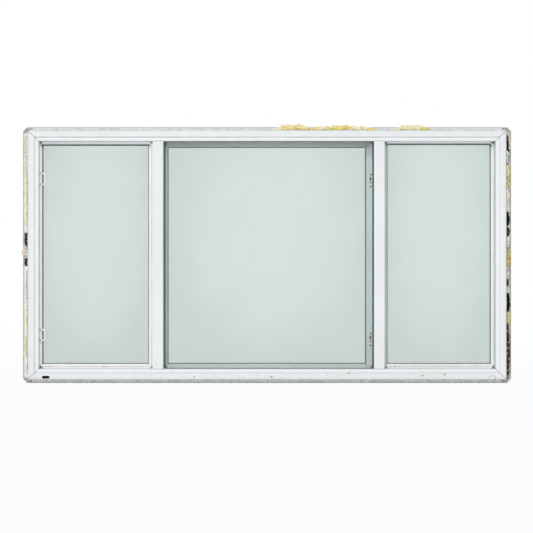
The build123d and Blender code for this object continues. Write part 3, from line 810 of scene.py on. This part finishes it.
def foam_on_left():
    """Worn foam beside the left jamb, one clump of it bulging past the flange."""
    yellow = foam_finish("foam_old_yellow", (250, 244, 206), (238, 224, 152), (150, 132, 84))
    cream = foam_finish("foam_cream", (240, 236, 216), (222, 212, 180), (150, 134, 98))
    grey = foam_finish("foam_dusty", (216, 216, 208), (188, 188, 180), (126, 120, 106))
    # Near black, standing in for the shade in the voids of the foam.
    dark = foam_finish("void_shade_left", (40, 40, 38), (24, 24, 22), (12, 12, 12))
    beside = pocket_limits("left")
    shallow = pocket_place("left", -0.0195, -0.012)
    yellow_spans = (
        (0.94, 1.018, 1.009, 1.0175),
        (0.84, 0.935, 1.008, 1.0155),
        (0.64, 0.835, 1.006, 1.0105),
        (0.19, 0.325, 1.004, 1.0105),
        (0.09, 0.185, 1.006, 1.0165),
    )
    size = (0.0016, 0.0032)
    lumps("foam_left_yellow", yellow_spans, shallow, beside, yellow, 0.0013, size, 21, ("foam_left",))
    bulging = pocket_place("left", -0.02, -0.006)
    bulge_limits = ((-1.0278, POCKET_FRONT, 0.5), (-1.0, -0.0005, 0.562))
    bulge_spans = ((0.509, 0.553, 1.004, 1.03),)
    lumps("foam_left_cream", bulge_spans, bulging, bulge_limits, cream, 0.0013, (0.003, 0.0055), 22)
    dust_spans = ((0.335, 0.455, 1.006, 1.011), (0.02, 0.085, 1.0, 1.008))
    low_dust = pocket_place("left", -0.018, -0.012)
    lumps("foam_left_dust", dust_spans, low_dust, beside, grey, 0.0013, (0.0016, 0.003), 23)
    # Dark pieces deep in the pocket, standing in for the shade in the voids of the foam.
    void_shade_spans = ((0.557, 0.612, 1.008, 1.0185), (0.474, 0.507, 1.008, 1.0185))
    deep = pocket_place("left", -0.01)
    lumps("left_void_shade", void_shade_spans, deep, beside, dark, 0.0014, (0.0024, 0.004), 24)


def foam_on_right():
    """Foam of several ages beside the right jamb, with dark pieces standing in for the shade of the voids
    between, and pale flecks over it.
    """
    yellow = foam_finish("foam_right_tone_yellow", (250, 238, 176), (236, 216, 128), (128, 98, 54))
    cream = foam_finish("foam_right_tone_cream", (250, 247, 230), (240, 232, 196), (150, 130, 90))
    mustard = foam_finish("foam_right_tone_mustard", (232, 206, 116), (206, 172, 76), (112, 86, 40))
    brown = foam_finish("foam_right_tone_brown", (86, 72, 50), (44, 38, 28), (12, 11, 9))
    white = foam_finish("foam_right_tone_white", (250, 250, 246), (238, 238, 230), (130, 112, 86))
    # Near black, standing in for the shade in the voids of the foam.
    dark = foam_finish("void_shade_right", (34, 32, 26), (16, 15, 12), (8, 8, 7))
    near = pocket_place("right", -0.0215, -0.012)
    mid = pocket_place("right", -0.0195, -0.01)
    deep = pocket_place("right", -0.019, -0.008)
    on_top = pocket_place("right", -0.0222, -0.018)
    limits = pocket_limits("right", RIGHT_POCKET_OUT)
    size = (0.0022, 0.0042)
    yellow_spans = ((0.802, 0.896, 1.001, 1.0212), (0.236, 0.281, 1.005, 1.021))
    cream_spans = ((0.962, 1.02, 1.0135, 1.021), (0.753, 0.797, 1.001, 1.0205))
    mustard_spans = ((0.472, 0.549, 1.001, 1.0195), (0.482, 0.516, 1.008, 1.0214))
    brown_spans = ((0.598, 0.636, 1.001, 1.0195), (0.006, 0.232, 1.004, 1.0205), (0.395, 0.418, 1.003, 1.016))
    white_spans = ((0.905, 0.955, 1.003, 1.0145), (0.552, 0.596, 1.004, 1.0186), (0.362, 0.384, 1.0, 1.014))
    void_shade_spans = (
        (0.897, 1.024, 0.9975, 1.0188),
        (0.644, 0.698, 1.001, 1.0205),
        (0.284, 0.358, 1.004, 1.0213),
    )
    lumps("foam_right_yellow", yellow_spans, near, limits, yellow, 0.0013, size, 31, ("foam_right",))
    lumps("foam_right_cream", cream_spans, near, limits, cream, 0.0013, size, 32)
    lumps("foam_right_mustard", mustard_spans, near, limits, mustard, 0.0013, size, 33)
    lumps("foam_right_brown", brown_spans, mid, limits, brown, 0.0014, size, 34)
    lumps("foam_right_white", white_spans, near, limits, white, 0.0014, size, 35)
    lumps("right_void_shade", void_shade_spans, deep, limits, dark, 0.0014, size, 36)
    flecks = []
    for k in range(9):
        along = k * 0.0235
        out = 0.0016 * (k % 4)
        flecks.append((0.012 + along, 0.0165 + along, 1.005 + out, 1.0105 + out))
    lumps("foam_right_flecks", flecks, on_top, limits, cream, 0.001, (0.0012, 0.002), 37)


def close_rings(shape, rings):
    """A skin over rings of corners, closed at both ends."""
    sides = len(rings[0])
    for first, second in zip(rings, rings[1:]):
        for k in range(sides):
            shape.faces.new((first[k], first[(k + 1) % sides], second[(k + 1) % sides], second[k]))
    shape.faces.new(rings[0])
    shape.faces.new(rings[-1])


def tube(shape, path, radius, sides):
    """A round bar along a path in one plane, with closed ends."""
    rings = []
    last = len(path) - 1
    for order, point in enumerate(path):
        ahead = path[min(order + 1, last)] - path[max(order - 1, 0)]
        ahead.normalize()
        across = ahead.cross(Vector((0, 1, 0))).normalized()
        ring = []
        for k in range(sides):
            angle = 2 * math.pi * k / sides
            ring.append(shape.verts.new(point + across * (radius * math.cos(angle))
                                        + Vector((0, radius * math.sin(angle), 0))))
        rings.append(ring)
    close_rings(shape, rings)


def rounded_foot(shape, x, z, depths, size, sides=28):
    """A foot under a pull: rings of a rounded rectangle that narrow a little towards the bar."""
    front, back = depths
    width, height = size
    rings = []
    for y, grow in ((back, 1.0), (back - 0.0006, 1.0), (front + 0.0012, 0.86), (front, 0.72)):
        ring = []
        for k in range(sides):
            angle = 2 * math.pi * k / sides
            c, s = math.cos(angle), math.sin(angle)
            ring.append(shape.verts.new((x + math.copysign(abs(c) ** 0.5, c) * width / 2 * grow, y,
                                         z + math.copysign(abs(s) ** 0.5, s) * height / 2 * grow)))
        rings.append(ring)
    close_rings(shape, rings)


def pull_path(level):
    """The middle line of a looped pull: out from the stile, up beside it and back."""
    low, high = level - PULL_LEG, level + PULL_LEG
    bend_x = PULL_GRIP_X - PULL_CORNER
    path = [Vector((PULL_FOOT_X, PULL_Y, low)), Vector((bend_x, PULL_Y, low))]
    for z, first in ((low + PULL_CORNER, -90), (high - PULL_CORNER, 0)):
        for step in range(1, 10):
            angle = math.radians(first + 90 * step / 9)
            x = bend_x + PULL_CORNER * math.cos(angle)
            path.append(Vector((x, PULL_Y, z + PULL_CORNER * math.sin(angle))))
    path.append(Vector((PULL_FOOT_X, PULL_Y, high)))
    return path


def pulls():
    """The looped pulls of the left sash, each with two feet and two rusty pins."""
    finish = moulded_finish("pull_plastic", srgb(234, 237, 235), 0.12)
    rusty = screw_finish("pin_rust", srgb(104, 80, 56))
    for name, level in zip(("lower_pull", "upper_pull"), PULL_LEVELS):
        shape = bmesh.new()
        tube(shape, pull_path(level), PULL_RADIUS, 20)
        pins = bmesh.new()
        for z in (level - PULL_LEG, level + PULL_LEG):
            rounded_foot(shape, PULL_FOOT_X, z, PULL_FOOT_DEPTHS, PULL_FOOT_SIZE)
            screw_head(pins, (PIN_X, PIN_Y, z), PIN_RADIUS)
        add_piece(name + "_loop", mesh_from(name, shape), finish, (name,))
        add_piece(name + "_pins", mesh_from(name + "_pins", pins), rusty)


def screw_head(shape, place, radius, sides=18):
    """A low domed head with a round rim and a sunk socket."""
    x, y, z = place
    profile = ((1.0, 0.0), (0.98, 0.2), (0.8, 0.42), (0.5, 0.56), (0.34, 0.58), (0.3, 0.3), (0.02, 0.26))
    rings = []
    for reach, height in profile:
        ring = []
        for k in range(sides):
            angle = 2 * math.pi * k / sides
            ring.append(shape.verts.new((x + radius * reach * math.cos(angle), y - radius * height,
                                         z + radius * reach * math.sin(angle))))
        rings.append(ring)
    close_rings(shape, rings)


def catch_screws():
    """Two screws in each catch plate."""
    finish = screw_finish("screw_steel", srgb(120, 118, 110))
    for name in CATCHES:
        low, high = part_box(name)
        x = (low[0] + high[0]) / 2
        y = high[1] - CATCH_SCREW_RISE
        shape = bmesh.new()
        for z in (low[2] + CATCH_SCREW_IN, high[2] - CATCH_SCREW_IN):
            screw_head(shape, (x, y, z), CATCH_SCREW_RADIUS)
        add_piece(name + "_screws", mesh_from(name + "_screws", shape), finish)


def floor():
    """A pale floor that looks white where it is seen."""
    bpy.ops.mesh.primitive_plane_add(size=FLOOR_SIZE, location=(0, FLOOR_MIDDLE_Y, FLOOR_LEVEL))
    ground = bpy.context.object
    ground.name = "floor"
    finish = Finish("floor_paper")
    finish.set(Base_Color=(0.86, 0.86, 0.86, 1.0), Roughness=0.9)
    glow = finish.node("ShaderNodeEmission", Strength=1.0)
    path = finish.node("ShaderNodeLightPath")
    seen = finish.math("MAXIMUM", path.outputs["Is Camera Ray"], path.outputs["Is Glossy Ray"])
    seen = finish.math("MAXIMUM", seen, path.outputs["Is Transmission Ray"])
    both = finish.node("ShaderNodeMixShader")
    finish.feed(both.inputs[0], finish.times(seen, finish.ramp(finish.y, -4.0, 2.0, 0.92, 1.0)))
    finish.feed(both.inputs[1], finish.shader.outputs[0])
    finish.feed(both.inputs[2], glow.outputs[0])
    finish.feed(finish.tree.nodes["Material Output"].inputs["Surface"], both.outputs[0])
    ground.data.materials.append(finish.material)


def world():
    """White where it is seen, reflected or shines through, and softer as light."""
    sky = bpy.data.worlds.new("studio")
    bpy.context.scene.world = sky
    sky.use_nodes = True
    tree = sky.node_tree
    tree.nodes.clear()
    path = tree.nodes.new("ShaderNodeLightPath")
    seen = None
    for name in ("Is Camera Ray", "Is Glossy Ray", "Is Transmission Ray"):
        if seen is None:
            seen = path.outputs[name]
            continue
        both = tree.nodes.new("ShaderNodeMath")
        both.operation = "MAXIMUM"
        tree.links.new(seen, both.inputs[0])
        tree.links.new(path.outputs[name], both.inputs[1])
        seen = both.outputs[0]
    light = tree.nodes.new("ShaderNodeBackground")
    light.inputs["Color"].default_value = (1.0, 1.0, 1.0, 1.0)
    light.inputs["Strength"].default_value = FILL
    shown = tree.nodes.new("ShaderNodeBackground")
    shown.inputs["Color"].default_value = (1.0, 1.0, 1.0, 1.0)
    shown.inputs["Strength"].default_value = 1.0
    mixed = tree.nodes.new("ShaderNodeMixShader")
    tree.links.new(seen, mixed.inputs[0])
    tree.links.new(light.outputs[0], mixed.inputs[1])
    tree.links.new(shown.outputs[0], mixed.inputs[2])
    out = tree.nodes.new("ShaderNodeOutputWorld")
    tree.links.new(mixed.outputs[0], out.inputs["Surface"])


def lamps():
    """Soft round lamps: one high, one near the line of sight and one on the room's side."""
    for name, place, size, power in LAMPS:
        lamp = bpy.data.lights.new(name, "AREA")
        lamp.shape = "DISK"
        lamp.size = size
        lamp.energy = power
        holder = bpy.data.objects.new(name, lamp)
        holder.visible_glossy = False
        holder.location = place
        holder.rotation_euler = (Vector(LAMP_AIM) - Vector(place)).to_track_quat("-Z", "Y").to_euler()
        bpy.context.scene.collection.objects.link(holder)


def camera():
    """The camera of the photo, square on to the window."""
    eye = bpy.data.cameras.new("camera")
    eye.lens = CAMERA_LENS
    eye.sensor_width = SENSOR_WIDTH
    holder = bpy.data.objects.new("camera", eye)
    holder.location = CAMERA_PLACE
    holder.rotation_euler = (math.pi / 2, 0.0, 0.0)
    bpy.context.scene.collection.objects.link(holder)
    bpy.context.scene.camera = holder


bpy.context.scene.view_settings.view_transform = "Standard"
finish_frame()
finish_sashes()
finish_fittings()
finish_glass()
pocket_fillers()
foam_on_head()
foam_on_left()
foam_on_right()
pulls()
catch_screws()
floor()
world()
lamps()
camera()
